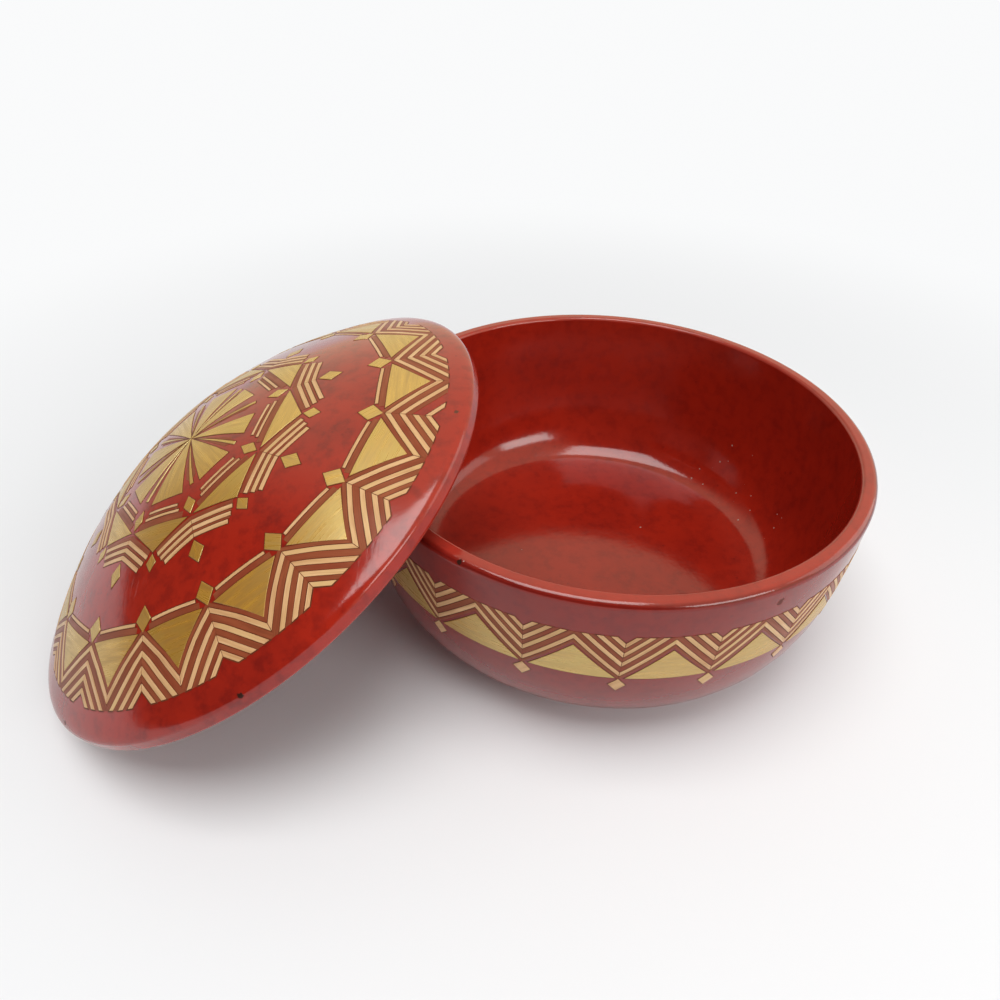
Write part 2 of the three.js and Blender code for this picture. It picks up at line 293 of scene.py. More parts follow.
# %% [markdown]
# ## A heap for each kind
#
# There are three kinds of straw: wide golden pieces, narrow pale bars, and brown strips that lie
# between them, darker than the red round them. Under each light piece a slightly larger dark one is
# laid, for the dark line that shows round every piece: partly the line of glue and lacquer, partly
# painted shade along the pieces' edges.
# Each piece is trimmed a little inside its outline, so that a dark line stays between neighbours.
# It also gets a number of its own, from which the material takes its shade. The numbers step by
# the golden ratio, so that neighbours never look alike.

# %% Sorting the pieces
TRIM = {"gold": -0.03, "pale": -0.07, "brown": -0.03}
# how far the dark bed of glue and painted shade shows beyond each light piece
GLUE_AND_SHADE_LINE = 0.16
SHADE_STEP = 0.618034


class Heap:
    def __init__(self):
        self.kinds = {"gold": [], "pale": [], "brown": [], "glue_and_shade": []}
        self.count = 0

    def add(self, kind, centre, grain, cuts):
        piece = cut_straw(centre, grain, cuts, TRIM[kind])
        self.mark(piece)
        self.kinds[kind].append(piece)
        # under each light piece a dark bed: partly the glue line, partly painted shade along its
        # edges
        if kind != "brown":
            bed = cut_straw(centre, grain, cuts, GLUE_AND_SHADE_LINE)
            self.mark(bed)
            self.kinds["glue_and_shade"].append(bed)

    def add_both(self, kind, centre, grain, cuts):
        """A piece, and its mirror image across the line of the junction."""
        self.add(kind, centre, grain, cuts)
        self.add(kind, (centre[0], -centre[1]), -grain, mirrored(cuts))

    def mark(self, piece):
        self.count += 1
        shade = piece.data.attributes.new("shade", "FLOAT", "FACE")
        value = (self.count * SHADE_STEP) % 1
        shade.data.foreach_set("value", [value] * len(piece.data.polygons))

    def gather(self, name):
        """One object for each kind."""
        found = {}
        for kind, pieces in self.kinds.items():
            if pieces:
                found[kind] = join(name + "_" + kind, pieces)
        return found


# %% [markdown]
# A band repeats one unit. So one unit is cut, and its heap is copied round the origin in equal
# steps. The shades are stepped on from copy to copy.

# %% Copying a unit round
COPY_STEP = 0.381


def ring(heap, count, start, skip=()):
    """Copies of a heap's objects, turned about the origin in equal steps."""
    rings = {}
    for kind, piece in heap.items():
        copies = []
        for i in range(count):
            if i in skip:
                continue
            pick(piece)
            bpy.ops.object.duplicate(linked=False)
            copy = bpy.context.object
            copy.rotation_euler = (0, 0, math.radians(start + 360 / count * i))
            shade = copy.data.attributes["shade"].data
            values = np.zeros(len(shade), np.float32)
            shade.foreach_get("value", values)
            shade.foreach_set("value", (values + COPY_STEP * i) % 1)
            copies.append(copy)
        pick(piece)
        bpy.ops.object.delete()
        pick(*copies)
        bpy.ops.object.transform_apply(location=False, rotation=True, scale=False)
        rings[kind] = join(kind + "_ring", copies)
    return rings


# %% [markdown]
# ## The lid's outer band
#
# Sixteen golden triangles point outwards. Between each two, at the junction, four pale bars on
# each side open outwards like a fan, mitred in the middle, with brown strips between them.
# A square stands inside each junction, and a thin straight bar joins the squares.
# One arm of a mitred bar is cut by the line of the junction, by its two long sides, and where it
# ends: at the next junction, at a circle, or at a cut straight across.

# %% Arms of a fan
def arm_cuts(inner_tip, outer_tip, lean, half=None, end_radius=None, end=None):
    """The cuts of one arm of a mitred bar that opens outwards from the x axis."""
    cuts = [
        line((0, 0), -90),
        line((inner_tip, 0), 90 + lean),
        line((outer_tip, 0), lean - 90),
    ]
    if half:
        cuts.append(line((0, 0), half + 90))
    if end_radius:
        middle = (inner_tip + outer_tip) / 2
        sweep = lean - math.degrees(
            math.asin(middle * math.sin(math.radians(lean)) / end_radius)
        )
        cuts.append(line(at(end_radius, sweep), sweep))
    if end:
        cuts.append(line(end, lean))
    return cuts


def arm_centre(tip, lean, length):
    turn = math.radians(lean)
    return (tip + length * math.cos(turn), length * math.sin(turn))


# %% [markdown]
# One unit is cut, with its junction on the x axis. Its lengths run from the middle of the lid, in
# mm, and its turns are in degrees. Both were measured off the picture.

# %% One unit of the outer band
OUTER_COUNT = 16
OUTER_HALF = 360 / OUTER_COUNT / 2
OUTER_LEAN = 57.1
OUTER_END = 61.15
outer = Heap()
outer_loose = Heap()
mid = OUTER_HALF
outer.add(
    "gold",
    at(53, mid),
    mid + 90,
    outline(at(49.9, mid - 9.55), at(57.75, mid), at(49.9, mid + 9.55)),
)
outer.add("gold", (47.3, 0), 45, outline((44.7, 0), (47.3, -2.4), (49.95, 0), (47.3, 2.4)))
for kind, near, far, half_length in (("pale", 47.05, 47.8, 6.6), ("brown", 47.9, 49.1, 7.6)):
    outer.add(kind, at(near, mid), mid + 90, crossbar(near, far, half_length, mid))
for kind, inner_tip, outer_tip in (
    ("pale", 50.25, 51.45),
    ("pale", 53.15, 54.35),
    ("pale", 58.05, 59.2),
    ("brown", 49.2, 50.15),
    ("brown", 51.55, 53.05),
    ("brown", 54.45, 55.6),
):
    outer.add_both(
        kind,
        arm_centre(inner_tip, OUTER_LEAN, 8),
        OUTER_LEAN,
        arm_cuts(inner_tip, outer_tip, OUTER_LEAN, OUTER_HALF, OUTER_END),
    )
for kind, inner_tip, outer_tip in (("pale", 55.7, 56.9), ("brown", 57.0, 57.95)):
    cuts = arm_cuts(inner_tip, outer_tip, OUTER_LEAN, OUTER_HALF, OUTER_END)
    centre = arm_centre(inner_tip, OUTER_LEAN, 4)
    outer_loose.add(kind, centre, OUTER_LEAN, cuts)
    outer.add(kind, (centre[0], -centre[1]), -OUTER_LEAN, mirrored(cuts))
print("outer band pieces", outer.count, outer_loose.count)

# %% [markdown]
# On the real lid one arm of the third bar, and the brown strip beside it, have fallen out of one
# fan, and red shows there. So those arms are a heap of their own, and that copy is skipped.

# %% Carry the unit round
LID_TURN = 4.4
FALLEN_OUT = 15
outer_rings = ring(outer.gather("outer"), OUTER_COUNT, LID_TURN)
loose_rings = ring(outer_loose.gather("loose"), OUTER_COUNT, LID_TURN, skip=(FALLEN_OUT,))
print("rings", [len(o.data.polygons) for o in outer_rings.values()])

# %% [markdown]
# ## The lid's middle band
#
# Eight larger triangles, with a fan of three bars at each junction whose arms lie almost across.
# The arms end in square cuts. Squares stand inside the junctions, outside them, and on the
# triangles' points, and two parallel thin bars join the inner squares.

# %% One unit of the middle band
MIDDLE_COUNT = 8
MIDDLE_HALF = 360 / MIDDLE_COUNT / 2
MIDDLE_LEAN = 79.5
middle = Heap()
mid = MIDDLE_HALF
middle.add(
    "gold",
    at(28, mid),
    mid + 90,
    outline(at(26.5, mid - 20.8), at(31.4, mid), at(26.5, mid + 20.8)),
)
middle.add("gold", (23.5, 0), 90, diamond(23.5, 0, 2.5, 1.7))
middle.add("gold", (36, 0), 0, diamond(36, 0, 2.7, 2.1))
middle.add("gold", at(33.8, mid), mid, diamond(33.8, mid, 2.0, 1.65))
for kind, near, far, half_length in (
    ("pale", 20.7, 21.4, 5.1),
    ("pale", 22.2, 22.95, 5.9),
    ("brown", 21.5, 22.1, 5.4),
    ("brown", 23.1, 24.7, 7.6),
):
    middle.add(kind, at(near, mid), mid + 90, crossbar(near, far, half_length, mid))
for kind, inner_tip, outer_tip, end in (
    ("pale", 28.0, 29.05, (30.8, 10.6)),
    ("pale", 29.75, 30.8, (32.5, 9.85)),
    ("pale", 31.5, 32.55, (34.4, 8.75)),
    ("brown", 26.95, 27.9, (29.6, 10.9)),
    ("brown", 29.15, 29.65, (31.5, 10.2)),
    ("brown", 30.9, 31.4, (33.3, 9.4)),
):
    middle.add_both(
        kind,
        arm_centre(inner_tip, MIDDLE_LEAN, 5),
        MIDDLE_LEAN,
        arm_cuts(inner_tip, outer_tip, MIDDLE_LEAN, end=end),
    )
middle_rings = ring(middle.gather("middle"), MIDDLE_COUNT, LID_TURN)
print("middle band pieces", middle.count)

# %% [markdown]
# ## The rosette
#
# Eight golden petals meet at the crown. Their edges were cut to fit by eye, so each has its own
# two edges, as directions in degrees. A thin ray lies between each two, between brown slivers.

# %% Petals and rays
PETALS = (
    (20.0, 42.5, 17.9),
    (-30.5, -10.2, 18.5),
    (-75.2, -48.4, 18.6),
    (-121.0, -90.4, 18.9),
    (-166.5, -139.5, 18.8),
    (149.0, 175.0, 18.8),
    (103.5, 130.5, 18.8),
    (58.5, 85.0, 18.8),
)
RAYS = (5.7, -40.1, -81.9, -130.4, -175.6, 139.5, 94.2, 49.4)
RAY_END = 18.1
RAY_HALF = 1.5
HALFWAY = 9.5
rosette = Heap()
for first, last, radius in PETALS:
    mid = (first + last) / 2
    rosette.add(
        "gold",
        at(HALFWAY, mid),
        mid,
        outline((0, 0), at(radius, first), at(radius, last)),
    )
for degrees in RAYS:
    rosette.add(
        "gold",
        at(HALFWAY, degrees),
        degrees,
        outline(
            at(0.4, degrees),
            at(RAY_END, degrees - RAY_HALF),
            at(RAY_END, degrees + RAY_HALF),
        ),
    )
    for side in (-1, 1):
        near, far = degrees + side * 1.9, degrees + side * 5.0
        ends = [at(16.8, near), at(15.6, far)]
        rosette.add(
            "brown",
            at(8.5, degrees + side * 3.5),
            degrees,
            outline(at(1.5, near), *(ends if side > 0 else ends[::-1])),
        )
rosette_pieces = rosette.gather("rosette")
print("rosette pieces", rosette.count)

# %% [markdown]
# ## Laid by eye
#
# No two fans of the real lid stand exactly on the division: the layer measured them by eye, and
# the middle of the whole pattern is a little off the crown. This is a shift that the
# copied rings can't have, so it is a short loop over the vertices: at each listed direction the
# band is shifted outwards and turned by a little, and between two of them by their average, so
# that the straight bars stay straight. Towards the rim most of the outward shift is held back,
# because the outer band ends on one circle.

# %% Shift the bands
OUTER_SHIFTS = {
    -153.1: (1.0, -1.6),
    -130.6: (-0.7, 1.5),
    -108.1: (-2.3, 1.9),
    -85.6: (-1.5, 0.4),
    -63.1: (-1.1, -0.8),
    -40.6: (-0.4, -1.6),
    -18.1: (-0.5, -1.3),
    4.4: (-0.1, 0.4),
    26.9: (1.1, 2.6),
    72.0: (0, 0),
    162.0: (0, 0),
}
MIDDLE_SHIFTS = {
    -175.6: (-0.1, 4.9),
    -130.6: (-0.7, 3.4),
    -85.6: (0.3, 0.7),
    -40.6: (-0.2, -1.2),
    4.4: (0.2, 0.1),
    90: (0, 0),
}
RIM_WIDTH = 6
RIM_HOLD = 0.8


def shift_at(table, degrees):
    keys = sorted(table)
    degrees = (degrees - keys[0]) % 360 + keys[0]
    after = [k for k in keys if k > degrees]
    high = after[0] if after else keys[0] + 360
    low = max(k for k in keys if k <= degrees)
    share = (degrees - low) / (high - low)
    (a, b), (c, d) = table[low], table[high if high in table else keys[0]]
    return a + (c - a) * share, b + (d - b) * share


def lay_by_eye(piece, table, rim=None):
    for vertex in piece.data.vertices:
        x, y = vertex.co.x / MM, vertex.co.y / MM
        radius, degrees = math.hypot(x, y), math.degrees(math.atan2(y, x))
        out, turn = shift_at(table, degrees)
        if rim:
            out *= 1 - RIM_HOLD * min(max((radius - rim + RIM_WIDTH) / RIM_WIDTH, 0), 1)
        x, y = at(radius + out, degrees + turn)
        vertex.co.x, vertex.co.y = x * MM, y * MM
    print(piece.name, "laid by eye")


for rings in (outer_rings, loose_rings):
    for piece in rings.values():
        lay_by_eye(piece, OUTER_SHIFTS, OUTER_END)
for piece in middle_rings.values():
    lay_by_eye(piece, MIDDLE_SHIFTS)

# %% [markdown]
# ## Laying the straw down
#
# The flat rings are lowered onto the dome with a shrinkwrap modifier that projects them straight
# down. Solidify gives them thickness, and a small bevel softens the cut edges so that they catch
# the light. Their heights differ by hundredths of a millimetre: the dark bed of glue and painted
# shade, brown, then light. The undersides are sunk a little into the lacquer, so that no gap shows
# on the curved wood.

# %% Drape, thicken, soften
HEIGHTS = {"glue_and_shade": 0.03, "brown": 0.06, "pale": 0.12, "gold": 0.12}
SUNK = 0.1
SOFT_EDGE = 0.05
SOFTEN_FROM = 60
SMOOTH_UP_TO = 35


def drape(piece, onto, height, axis):
    pick(piece)
    wrap = piece.modifiers.new("lay", "SHRINKWRAP")
    wrap.target = onto
    wrap.wrap_method = "PROJECT"
    wrap.use_project_z = axis == "down"
    wrap.use_project_y = axis == "in"
    wrap.use_negative_direction = axis == "down"
    wrap.use_positive_direction = axis == "in"
    wrap.offset = height * MM
    bpy.ops.object.modifier_apply(modifier="lay")


def thicken(piece, kind):
    pick(piece)
    solid = piece.modifiers.new("thickness", "SOLIDIFY")
    solid.thickness = (HEIGHTS[kind] + SUNK) * MM
    solid.offset = -1
    bpy.ops.object.modifier_apply(modifier="thickness")
    if kind in ("gold", "pale"):
        soft = piece.modifiers.new("soft edge", "BEVEL")
        soft.width = SOFT_EDGE * MM
        soft.segments = 1
        soft.limit_method = "ANGLE"
        soft.angle_limit = math.radians(SOFTEN_FROM)
        bpy.ops.object.modifier_apply(modifier="soft edge")
    bpy.ops.object.shade_smooth_by_angle(angle=math.radians(SMOOTH_UP_TO))


PATTERN_CENTRE = (0.85, -0.57)
ABOVE_THE_LID = 60
lid_straw = {}
for kind in ("gold", "pale", "brown", "glue_and_shade"):
    parts = [
        source[kind]
        for source in (outer_rings, loose_rings, middle_rings, rosette_pieces)
        if kind in source
    ]
    whole = join("lid_" + kind, parts)
    whole.location = in_metres(*PATTERN_CENTRE, ABOVE_THE_LID)
    bpy.ops.object.transform_apply(location=True, rotation=False, scale=False)
    drape(whole, lid, HEIGHTS[kind], "down")
    thicken(whole, kind)
    lid_straw[kind] = whole
    print(whole.name, "faces", len(whole.data.polygons))

# %% [markdown]
# ## The bowl's band
#
# Twenty golden triangles stand on a line round the bowl. Between them, fans of four pale bars
# open upwards to a second line, and a small diamond hangs under each junction. The unit is cut
# flat, with its junction on the y axis.

# %% One unit of the bowl's band
WALL = 64.4
BOWL_COUNT = 20
BOWL_STEP = WALL * math.tan(math.radians(360 / BOWL_COUNT / 2))
BOWL_LEAN = 42.0
BAND_TOP = 45.3
band = Heap()
band.add(
    "gold",
    (BOWL_STEP, 35),
    0,
    outline((BOWL_STEP - 8.9, 31.25), (BOWL_STEP + 8.9, 31.25), (BOWL_STEP, 41.1)),
)
band.add("pale", (0, 28.5), 45, outline((0, 26.1), (1.9, 28.6), (0, 31.0), (-1.9, 28.6)))


def rising_cuts(low_tip, high_tip):
    """The cuts of one arm of a mitred bar that opens upwards, right of its middle line."""
    return [
        line((0, 0), 180),
        line((0, low_tip), -BOWL_LEAN),
        line((0, high_tip), 180 - BOWL_LEAN),
        line((BOWL_STEP, 0), 0),
        line((0, BAND_TOP), 90),
    ]


for kind, low_tip, high_tip in (
    ("pale", 31.9, 33.45),
    ("pale", 35.45, 37.05),
    ("pale", 38.65, 40.25),
    ("pale", 41.75, 43.3),
    ("brown", 30.75, 31.75),
    ("brown", 33.6, 35.3),
    ("brown", 37.2, 38.5),
    ("brown", 40.4, 41.6),
):
    cuts = rising_cuts(low_tip, high_tip)
    centre = (4, low_tip + 5)
    band.add(kind, centre, 90 - BOWL_LEAN, cuts)
    flipped = [((-x, y), math.pi - facing) for (x, y), facing in cuts]
    band.add(kind, (-centre[0], centre[1]), 90 + BOWL_LEAN, flipped)
print("bowl band pieces", band.count)

# %% [markdown]
# The flat unit is stood up in front of the wall, pushed onto it and thickened, and only then
# copied round, because the wall curves away from a flat band.

# %% Onto the wall, and round
BEFORE_THE_WALL = -80
BOWL_TURN = -38.5
BOWL_SHIFTS = {-128.5: (0, -1.4), -110.5: (0, 0.2), -92.5: (0, 0.9), 0: (0, 0), 180: (0, 0)}
band_pieces = band.gather("band")
for kind, piece in band_pieces.items():
    piece.rotation_euler = (math.radians(90), 0, 0)
    piece.location = in_metres(0, BEFORE_THE_WALL, 0)
    pick(piece)
    bpy.ops.object.transform_apply(location=True, rotation=True, scale=False)
    drape(piece, bowl, HEIGHTS[kind], "in")
    thicken(piece, kind)
band_rings = ring(band_pieces, BOWL_COUNT, BOWL_TURN)
bowl_straw = {}
for kind, piece in band_rings.items():
    lay_by_eye(piece, BOWL_SHIFTS)
    piece.name = "bowl_" + kind
    bowl_straw[kind] = piece
    print(piece.name, "faces", len(piece.data.polygons))

# %% [markdown]
# ## Leaning the lid
#
# The lid and its straw are leaned together by one placement: where the lid's middle goes, which
# way is up its slope, and its axis. Applying it puts the place into the meshes.

# %% Lean
LID_PLACE = Matrix(
    (
        (0.8348, -0.1633, -0.5257, -0.0897042),
        (0.1382, 0.9866, -0.0870, -0.0148504),
        (0.5329, 0.0, 0.8462, 0.0353231),
        (0, 0, 0, 1),
    )
)
for piece in [lid, *lid_straw.values()]:
    piece.matrix_world = LID_PLACE
    pick(piece)
    bpy.ops.object.transform_apply(location=True, rotation=True, scale=True)
lean = LID_PLACE.to_3x3().col[2].angle(Vector((0, 0, 1)))
print("the lid leans", round(math.degrees(lean), 1), "degrees")

# %% [markdown]
# ## Finishes
#
# Lacquer and straw are built from nodes. The helpers below add one node each, set its plain values
# and link whatever comes from another node. Effects that several finishes share are groups.

# %% Node helpers
def feed(tree, made, values):
    for name, value in values.items():
        if isinstance(value, bpy.types.NodeSocket):
            tree.links.new(value, made.inputs[name])
        else:
            made.inputs[name].default_value = value


def node(tree, kind, inputs=None, **settings):
    made = tree.nodes.new("ShaderNode" + kind)
    for name, value in settings.items():
        setattr(made, name, value)
    feed(tree, made, inputs or {})
    return made


def group(name, inputs, outputs):
    tree = bpy.data.node_groups.new(name, "ShaderNodeTree")
    for label, kind in inputs.items():
        tree.interface.new_socket(label, in_out="INPUT", socket_type="NodeSocket" + kind)
    for label, kind in outputs.items():
        tree.interface.new_socket(label, in_out="OUTPUT", socket_type="NodeSocket" + kind)
    given = tree.nodes.new("NodeGroupInput").outputs
    result = tree.nodes.new("NodeGroupOutput").inputs
    return tree, given, result


def use(tree, shared, inputs):
    made = tree.nodes.new("ShaderNodeGroup")
    made.node_tree = shared
    feed(tree, made, inputs)
    return made.outputs


def noise(tree, vector, scale, detail=2.0, roughness=0.5):
    settings = {"Vector": vector, "Scale": scale, "Detail": detail, "Roughness": roughness}
    return node(tree, "TexNoise", settings).outputs["Fac"]


def ramp(tree, value, low, high, to_low=0.0, to_high=1.0):
    limits = {"From Min": low, "From Max": high, "To Min": to_low, "To Max": to_high}
    made = node(tree, "MapRange", {"Value": value, **limits}, interpolation_type="SMOOTHSTEP")
    return made.outputs["Result"]


def math_node(tree, operation, first, second=0.0):
    return node(tree, "Math", {0: first, 1: second}, operation=operation).outputs[0]


def times(tree, first, second):
    return math_node(tree, "MULTIPLY", first, second)


def vector_math(tree, operation, first, second=(0, 0, 0)):
    return node(tree, "VectorMath", {0: first, 1: second}, operation=operation).outputs


def mix(tree, share, first, second):
    made = node(tree, "Mix", {0: share, 6: first, 7: second}, data_type="RGBA")
    return made.outputs[2]


def material(name):
    made = bpy.data.materials.new(name)
    made.use_nodes = True
    return made, made.node_tree, made.node_tree.nodes["Principled BSDF"]


# %% [markdown]
# ### Old lacquer
#
# The red was brushed on by hand over dark wood, in several coats. It clouds where the coats are
# uneven, it is freckled with dust that dried in it, and its surface is not quite flat.

# %% Group: lacquer ground
SCARLET = (0.345, 0.0165, 0.0066, 1)
CLOUDED = (0.18, 0.0085, 0.0055, 1)
FRECKLE = (0.09, 0.006, 0.005, 1)
lacquer, given, result = group(
    "lacquer ground",
    {"Vector": "Vector", "Clouding": "Float"},
    {"Color": "Color", "Height": "Float"},
)
wide = ramp(lacquer, noise(lacquer, given["Vector"], 58, 4, 0.62), 0.40, 0.72)
small = ramp(lacquer, noise(lacquer, given["Vector"], 330, 3, 0.6), 0.42, 0.70)
tone = times(lacquer, math_node(lacquer, "ADD", wide, small), given["Clouding"])
clouds = mix(lacquer, tone, SCARLET, CLOUDED)
cells = node(lacquer, "TexVoronoi", {"Vector": given["Vector"], "Scale": 420.0}).outputs["Distance"]
rare = ramp(lacquer, noise(lacquer, given["Vector"], 150, 1), 0.56, 0.68)
spot = times(lacquer, ramp(lacquer, cells, 0.20, 0.10), rare)
freckled = mix(lacquer, times(lacquer, spot, 0.3), clouds, FRECKLE)
peel = noise(lacquer, given["Vector"], 950)
waves = noise(lacquer, given["Vector"], 95)
height = math_node(lacquer, "ADD", times(lacquer, peel, 0.26), waves)
lacquer.links.new(freckled, result["Color"])
lacquer.links.new(height, result["Height"])
print("group", lacquer.name)

# %% [markdown]
# Turning leaves faint rings about the axis, which the lacquer doesn't quite hide. Noise that is
# read on the profile, by distance and height, comes out as rings.

# %% Group: turning rings
def flattened(tree, vector):
    """A place without its height, and the height."""
    split = node(tree, "SeparateXYZ", {"Vector": vector}).outputs
    return node(tree, "CombineXYZ", {"X": split["X"], "Y": split["Y"]}).outputs[0], split["Z"]


def on_profile(tree, vector):
    """Where a place lies on the turner's profile: its distance from the axis, and its height."""
    flat, height = flattened(tree, vector)
    radius = vector_math(tree, "LENGTH", flat)["Value"]
    return node(tree, "CombineXYZ", {"X": radius, "Y": height}).outputs[0]


turning_rings, given, result = group("turning rings", {"Vector": "Vector"}, {"Height": "Float"})
profile = on_profile(turning_rings, given["Vector"])
turning_rings.links.new(noise(turning_rings, profile, 1500, 2, 0.6), result["Height"])
print("group", turning_rings.name)

# %% [markdown]
# Handling leaves hair scratches. A thin contour of a long, stretched noise makes each one. Three
# sets of them cross, and a slower noise breaks them up.

# %% Group: hair scratches
scratches, given, result = group(
    "hair scratches", {"Vector": "Vector", "Amount": "Float"}, {"Mask": "Float"}
)
hairs = 0.0
for turn, size in ((0.5, 45), (1.9, 60), (2.7, 52)):
    pull = (size * 8, size * 0.3, size * 0.3)
    turned_by = {"Vector": given["Vector"], "Rotation": (0.3, 0.2, turn), "Scale": pull}
    stretched = node(scratches, "Mapping", turned_by).outputs[0]
    ridge = math_node(scratches, "SUBTRACT", noise(scratches, stretched, 1, 0), 0.5)
    thin = ramp(scratches, math_node(scratches, "ABSOLUTE", ridge), 0.012, 0.003)
    hairs = math_node(scratches, "MAXIMUM", thin, hairs)
broken = ramp(scratches, noise(scratches, given["Vector"], 120), 0.56, 0.68)
kept = times(scratches, hairs, broken)
scratches.links.new(times(scratches, kept, given["Amount"]), result["Mask"])
print("group", scratches.name)

# %% [markdown]
# A chip is a small ragged spot at one place. Dust is a patch of pale grains within a distance of
# one place. An edge line is a ragged line of another colour round a turned edge; the pale ones are
# painted highlights. It is given by the edge's radius and height.

# %% Groups: chip, dust and edge line
chip, given, result = group(
    "chip", {"Vector": "Vector", "Place": "Vector", "Size": "Float"}, {"Mask": "Float"}
)
away = vector_math(chip, "DISTANCE", given["Vector"], given["Place"])["Value"]
ragged = ramp(chip, noise(chip, given["Vector"], 800), 0.36, 0.64, 0.45, 1.35)
share = math_node(chip, "DIVIDE", away, times(chip, given["Size"], ragged))
chip.links.new(ramp(chip, share, 1.0, 0.65), result["Mask"])

dust, given, result = group(
    "dust", {"Vector": "Vector", "Place": "Vector", "Spread": "Float"}, {"Mask": "Float"}
)
away = vector_math(dust, "DISTANCE", given["Vector"], given["Place"])["Value"]
near = math_node(dust, "LESS_THAN", away, given["Spread"])
cells = node(dust, "TexVoronoi", {"Vector": given["Vector"], "Scale": 480.0}).outputs["Distance"]
few = ramp(dust, noise(dust, given["Vector"], 260, 1), 0.50, 0.60, 0.02, 0.13)
grain = math_node(dust, "LESS_THAN", cells, few)
dust.links.new(times(dust, near, grain), result["Mask"])

edge_line, given, result = group(
    "edge line",
    {"Vector": "Vector", "Radius": "Float", "Height": "Float", "Width": "Float"},
    {"Mask": "Float"},
)
here = on_profile(edge_line, given["Vector"])
there = node(edge_line, "CombineXYZ", {"X": given["Radius"], "Y": given["Height"]}).outputs[0]
away = vector_math(edge_line, "DISTANCE", here, there)["Value"]
uneven = math_node(edge_line, "ADD", noise(edge_line, given["Vector"], 140, 3, 0.6), 0.5)
share = math_node(edge_line, "DIVIDE", away, times(edge_line, given["Width"], uneven))
edge_line.links.new(ramp(edge_line, share, 1.0, 0.5), result["Mask"])
print("groups", chip.name, dust.name, edge_line.name)

# %% [markdown]
# The bowl and the lid share these groups. On the leaning lid, Mapping turns the coordinates back,
# so that its rings run about its axis. The bowl's outer wall is painted darker than its inside, a
# painted shade, and dust lies only inside it: the direction that the surface faces, against the
# direction from the axis, tells outside from inside.
# There is no second, soft reflection under the coat: on the real box the red looks wet and deep.

# %% Red lacquer
WOOD = (0.035, 0.012, 0.008, 1)
PALE_FLECK = (0.40, 0.27, 0.23, 1)
RUSSET = (0.16, 0.05, 0.04, 1)
UMBER = (0.14, 0.05, 0.03, 1)
DEEP = (0.12, 0.006, 0.005, 1)
# the pale pink colour of the painted highlights along edges
PAINTED_HIGHLIGHT = (0.42, 0.06, 0.04, 1)
# the colour of the painted shade on the bowl's outer wall
PAINTED_WALL_SHADE = (0.085, 0.010, 0.009, 1)
OUTSIDE = (0.01, 0.04)
SKIN_DEPTH = 0.00006
DENT_DEPTH = 0.0001
RING_SHARE = 0.05
COAT_LOST = 0.8


def outwards(tree, place):
    """How far the surface of the bowl faces away from its axis."""
    facing = node(tree, "TexCoord").outputs["Normal"]
    from_axis, height = flattened(tree, place)
    return vector_math(tree, "DOT_PRODUCT", facing, from_axis)["Value"]


def red_lacquer(name, clouding, scratch, gloss, edges, chips, leaned=None, outer_wall_shade=0.0, dusty=()):
    made, tree, shader = material(name)
    place = node(tree, "TexCoord").outputs["Object"]
    axis = place
    if leaned:
        axis = node(tree, "Mapping", {"Vector": place, **leaned}, vector_type="TEXTURE").outputs[0]
    ground = use(tree, lacquer, {"Vector": place, "Clouding": clouding})
    rings = use(tree, turning_rings, {"Vector": axis})["Height"]
    hair = use(tree, scratches, {"Vector": place, "Amount": scratch})["Mask"]
    colour = ground["Color"]
    # painted shade: the bowl's outer wall is darkened
    if outer_wall_shade:
        dark = ramp(tree, outwards(tree, place), *OUTSIDE, 0.0, outer_wall_shade)
        colour = mix(tree, dark, colour, PAINTED_WALL_SHADE)
    # edge lines; the pale ones are painted highlights
    for radius, height, width, strength, tint in edges:
        where = {"Radius": radius * MM, "Height": height * MM, "Width": width * MM}
        edge_mark = use(tree, edge_line, {"Vector": axis, **where})["Mask"]
        colour = mix(tree, times(tree, edge_mark, strength), colour, tint)
    bare = 0.0
    for spot, size, tint in chips:
        where = {"Place": in_metres(*spot), "Size": size * MM}
        gone = use(tree, chip, {"Vector": place, **where})["Mask"]
        colour = mix(tree, gone, colour, tint)
        bare = math_node(tree, "MAXIMUM", gone, bare)
    for spot, spread in dusty:
        where = {"Place": in_metres(*spot), "Spread": spread * MM}
        grains = use(tree, dust, {"Vector": place, **where})["Mask"]
        inside = math_node(tree, "LESS_THAN", outwards(tree, place), OUTSIDE[0])
        colour = mix(tree, times(tree, grains, inside), colour, PALE_FLECK)
    coat = math_node(tree, "SUBTRACT", 1.0, times(tree, bare, COAT_LOST))
    uneven = math_node(tree, "ADD", ground["Height"], times(tree, rings, RING_SHARE))
    skin = node(tree, "Bump", {"Height": uneven, "Strength": 1.0, "Distance": SKIN_DEPTH})
    dents = math_node(tree, "SUBTRACT", 0, math_node(tree, "ADD", hair, bare))
    pressed = {"Height": dents, "Strength": 0.2, "Distance": DENT_DEPTH, "Normal": skin.outputs[0]}
    surface = node(tree, "Bump", pressed).outputs[0]
    feed(
        tree,
        shader,
        {
            "Base Color": colour,
            "Roughness": 0.6,
            "Specular IOR Level": 0.0,
            "Coat Weight": coat,
            "Coat Roughness": gloss,
            "Coat Normal": surface,
            "Normal": surface,
        },
    )
    print("finish", made.name)
    return made


# %% [markdown]
# An edge line is given as radius, height and width in mm, strength and colour. A chip is given as
# its place and size in mm, and what shows in it: bare wood, a brown under-coat or a pale fleck.
# A patch of dust is given as its place and spread. The bowl is glossier than the lid, which shows
# more scratches and clouds.

